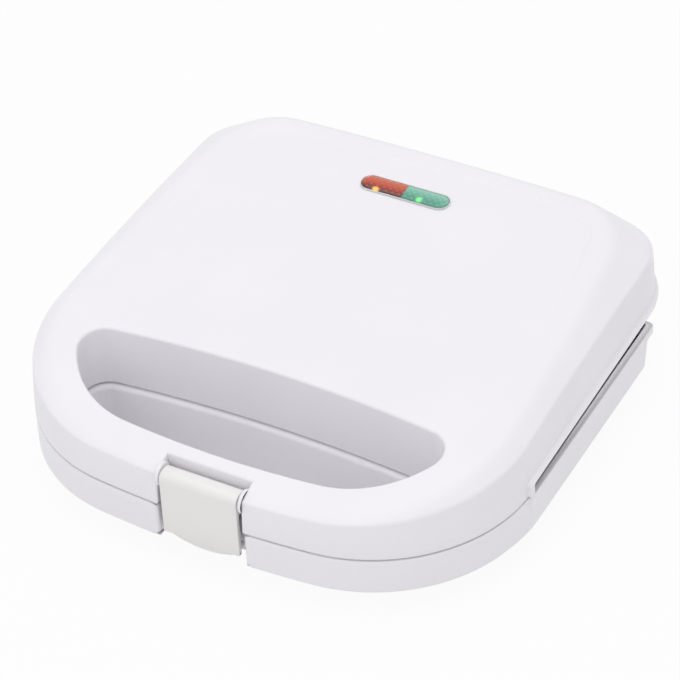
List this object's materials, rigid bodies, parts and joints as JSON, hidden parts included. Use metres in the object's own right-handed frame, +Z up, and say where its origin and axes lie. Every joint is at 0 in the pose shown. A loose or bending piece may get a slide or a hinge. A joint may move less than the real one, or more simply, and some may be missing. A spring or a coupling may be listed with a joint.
{
  "type": "sandwich toaster",
  "caption": "Hinged sandwich toaster: lid and base each carry a plate with triangular pockets, with a finger hole through the front, a latch and an indicator window.",
  "frame": {"origin": "middle of the footprint, on the surface the feet stand on", "axes": "+X to the right seen from the front, +Y from the latch towards the hinges, +Z up"},
  "size_m": [0.2248, 0.224, 0.0738],
  "materials": {
    "housing_white": "moulded polypropylene, satin gloss",
    "latch_white": "moulded ABS, satin gloss, a little warmer than the housing",
    "nonstick": "black non-stick coating on pressed aluminium",
    "heater_steel": "heat-darkened steel tube",
    "sheet_steel": "aluminised steel sheet",
    "bright_steel": "zinc-plated steel",
    "lens_red": "ribbed translucent red polycarbonate",
    "lens_green": "ribbed translucent green polycarbonate",
    "lens_clear": "clear polycarbonate",
    "lamp_glass": "small neon lamp",
    "lamp_carrier": "heat-resistant nylon",
    "thermostat_body": "phenolic",
    "sleeve": "glass-fibre sleeving",
    "terminal_plastic": "moulded nylon",
    "bush_plastic": "moulded nylon",
    "foot_rubber": "dark grey rubber"
  },
  "bodies": {
    "base": {"base_shell": "housing_white", "lower_plate": "nonstick", "lower_plate_screws": "bright_steel", "lower_heater": "heater_steel", "lower_heater_clamps": "sheet_steel", "lower_reflector": "sheet_steel", "thermal_fuse": "sleeve", "terminal_block": "terminal_plastic", "cord_bush": "bush_plastic", "base_wiring": "sleeve", "hinge_pins": "bright_steel", "feet": "foot_rubber"},
    "lid": {"lid_shell": "housing_white", "upper_plate": "nonstick", "upper_plate_screws": "bright_steel", "upper_heater": "heater_steel", "upper_heater_clamps": "sheet_steel", "upper_reflector": "sheet_steel", "lens_rim": "lens_clear", "red_lens": "lens_red", "green_lens": "lens_green", "red_lamp": "lamp_glass", "green_lamp": "lamp_glass", "lamp_holder": "lamp_carrier", "thermostat": "thermostat_body", "lid_wiring": "sleeve", "latch_pin": "bright_steel"},
    "latch": {"latch": "latch_white"}
  },
  "joints": [
    {"name": "lid_hinge", "type": "hinge", "parent": "base", "child": "lid", "pos_m": [0, 0.09, 0.033], "axis": [-1, 0, 0], "range_deg": [0, 100]},
    {"name": "latch_pivot", "type": "hinge", "parent": "lid", "child": "latch", "pos_m": [0, -0.1069, 0.0418], "axis": [-1, 0, 0], "range_deg": [0, 75]}
  ]
}
